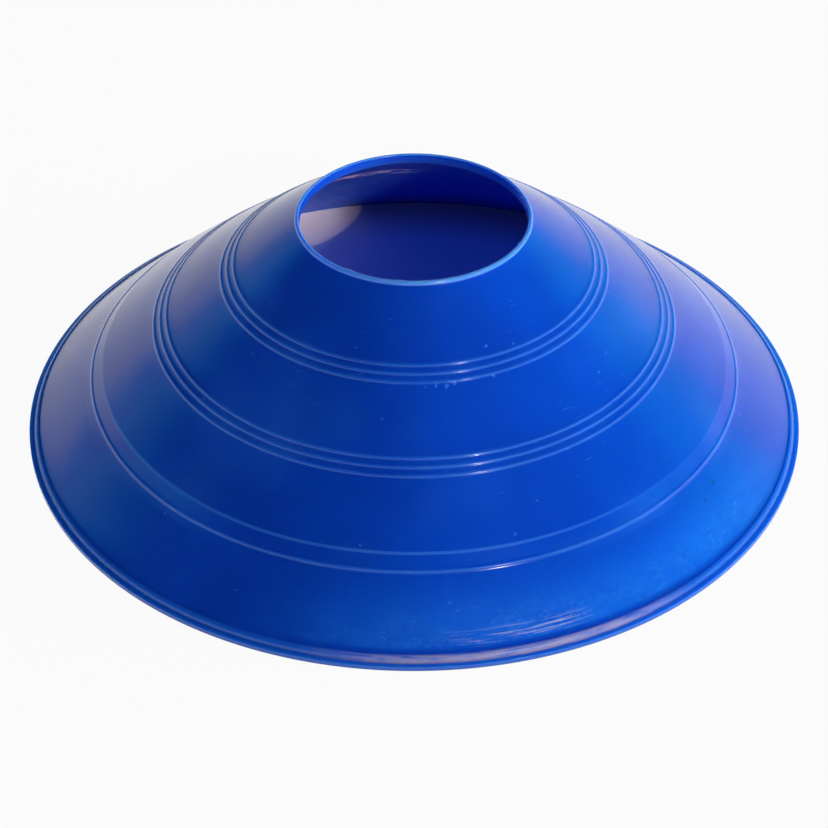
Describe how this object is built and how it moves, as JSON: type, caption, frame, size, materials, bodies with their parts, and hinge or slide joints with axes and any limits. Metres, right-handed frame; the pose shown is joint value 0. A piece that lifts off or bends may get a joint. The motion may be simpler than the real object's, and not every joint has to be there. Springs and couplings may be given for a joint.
{
  "type": "sports marker cone",
  "caption": "Low hollow marker cone for sports fields, with a rounded lip round its mouth, fine ribs, a beaded rim and an open underside.",
  "frame": {"origin": "middle of the foot ring, on the ground that the cone stands on", "axes": "+Z along the cone's axis, up through the mouth; the cone is the same all round, and the picture looks along +Y from above"},
  "size_m": [0.19, 0.19, 0.056],
  "materials": {
    "soft_plastic": "injection moulded low density polyethylene, blue right through, glossy with fine scratches from use"
  },
  "bodies": {
    "root": {"cone_shell": "soft_plastic"}
  },
  "joints": []
}
